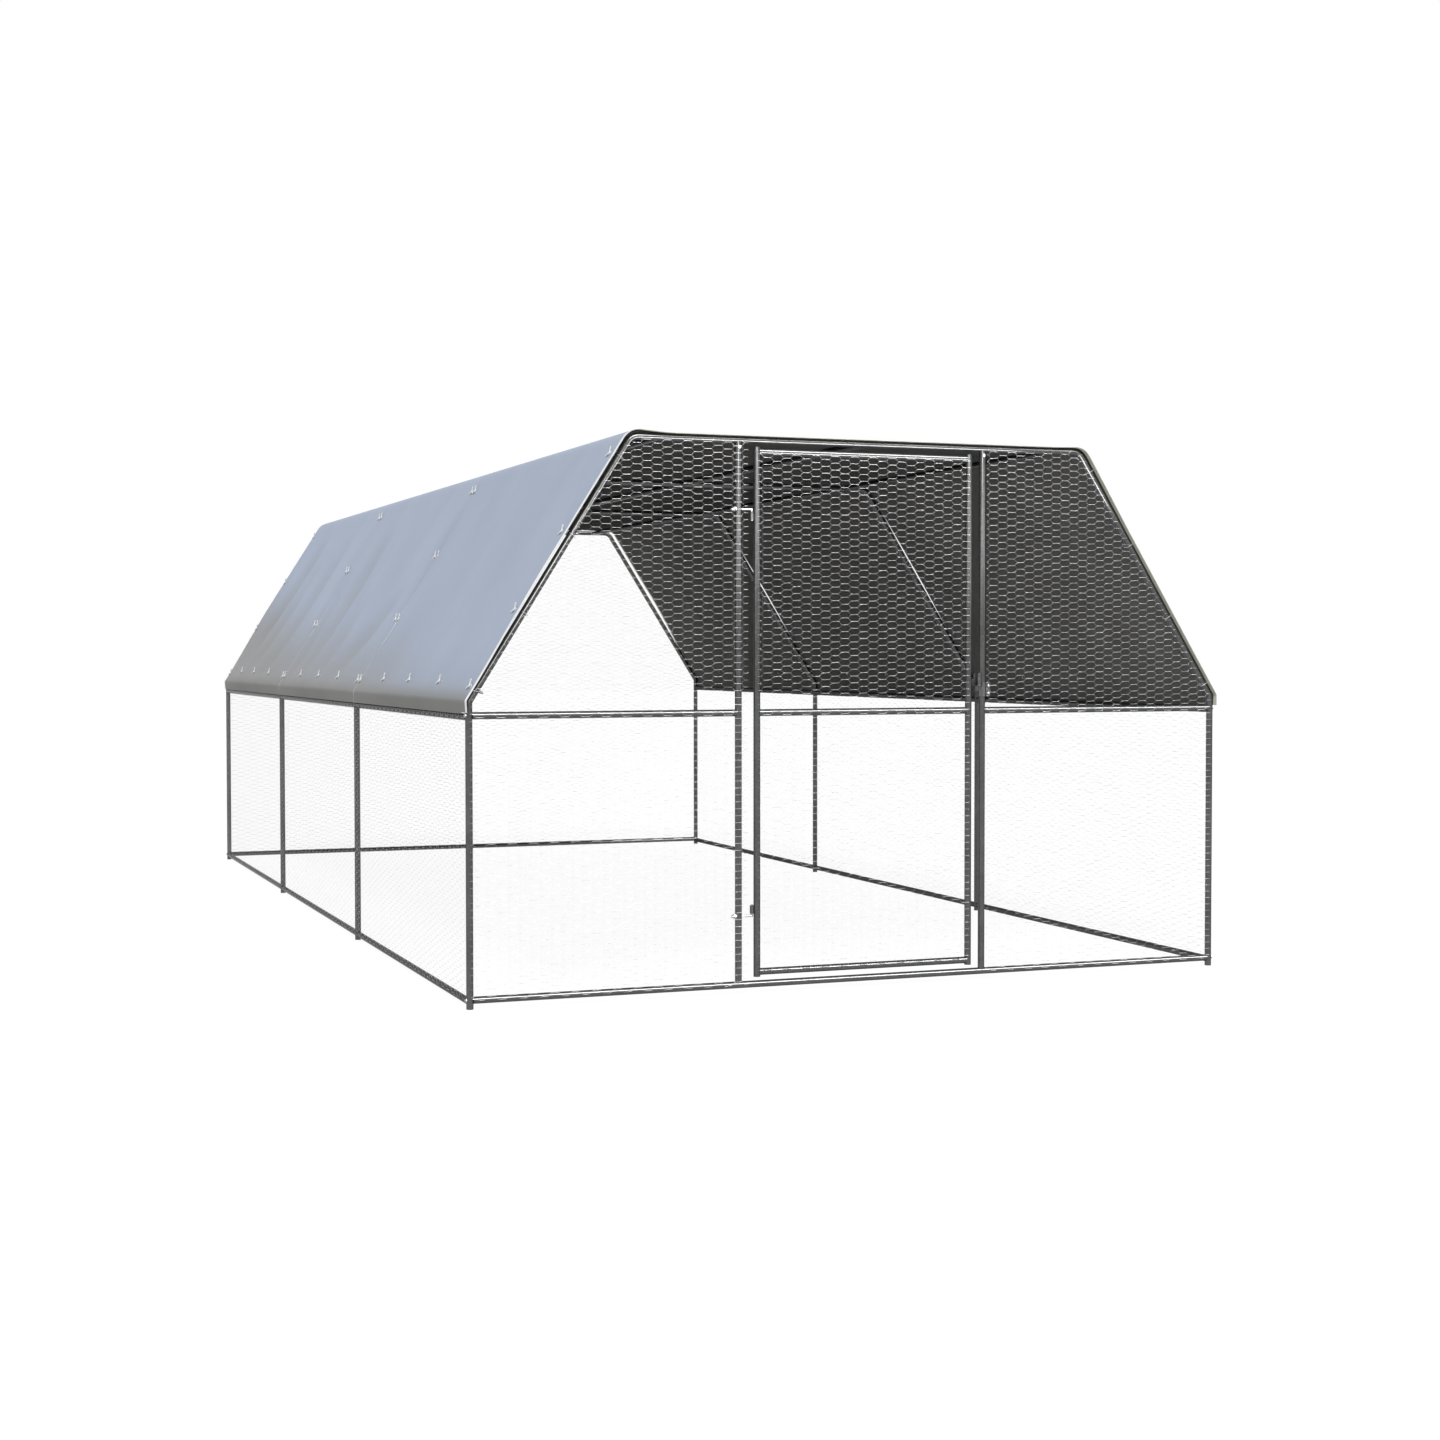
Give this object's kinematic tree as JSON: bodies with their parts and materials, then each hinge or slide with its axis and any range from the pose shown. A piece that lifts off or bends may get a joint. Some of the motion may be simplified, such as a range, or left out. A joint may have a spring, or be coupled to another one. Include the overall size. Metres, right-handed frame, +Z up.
{
  "type": "walk-in poultry run",
  "caption": "Galvanised tube walk-in run for hens, closed with chicken wire, with a hinged door, a fork latch and a fabric cover over its bent-rafter roof.",
  "frame": {"origin": "on the ground, under the middle of the run", "axes": "+X to the right seen from the door, +Y from the door to the back, +Z up"},
  "size_m": [3.009, 5.946, 2.0105],
  "materials": {
    "galvanised_tube": "galvanised",
    "wire": "galvanised wire",
    "cover": "coated woven cloth"
  },
  "bodies": {
    "frame": {"back_bottom_rail": "galvanised_tube", "back_net": "wire", "front_bottom_rail": "galvanised_tube", "front_cover": "cover", "front_left_mid_rail": "galvanised_tube", "front_left_net": "wire", "front_right_mid_rail": "galvanised_tube", "front_right_net": "wire", "latch_clamp": "galvanised_tube", "latch_pivot": "galvanised_tube", "left_bottom_rails": "galvanised_tube", "left_door_post": "galvanised_tube", "left_eave_rails": "galvanised_tube", "left_net": "wire", "left_post_1": "galvanised_tube", "left_post_2": "galvanised_tube", "left_post_3": "galvanised_tube", "left_post_4": "galvanised_tube", "left_purlins": "galvanised_tube", "left_rafters": "galvanised_tube", "lower_hinge_hook": "galvanised_tube", "middle_cover": "cover", "rear_cover": "cover", "ridge_purlins": "galvanised_tube", "right_bottom_rails": "galvanised_tube", "right_door_post": "galvanised_tube", "right_eave_rails": "galvanised_tube", "right_net": "wire", "right_post_1": "galvanised_tube", "right_post_2": "galvanised_tube", "right_post_3": "galvanised_tube", "right_post_4": "galvanised_tube", "right_purlins": "galvanised_tube", "right_rafters": "galvanised_tube", "top_tube_1": "galvanised_tube", "top_tube_2": "galvanised_tube", "top_tube_3": "galvanised_tube", "top_tube_4": "galvanised_tube", "upper_hinge_hook": "galvanised_tube"},
    "door": {"door_bottom_rail": "galvanised_tube", "door_left_stile": "galvanised_tube", "door_mid_rail": "galvanised_tube", "door_net": "wire", "door_right_stile": "galvanised_tube", "door_top_rail": "galvanised_tube", "hinge_sleeves": "galvanised_tube"},
    "latch_fork": {"latch_fork": "galvanised_tube"}
  },
  "joints": [
    {"name": "door_hinge", "type": "hinge", "parent": "frame", "child": "door", "pos_m": [-0.4425, -2.943, 1], "axis": [0, 0, -1], "range_deg": [0, 100]},
    {"name": "latch_pivot", "type": "hinge", "parent": "frame", "child": "latch_fork", "pos_m": [0.465, -2.943, 1.094], "axis": [0, -1, 0], "range_deg": [0, 90]}
  ]
}
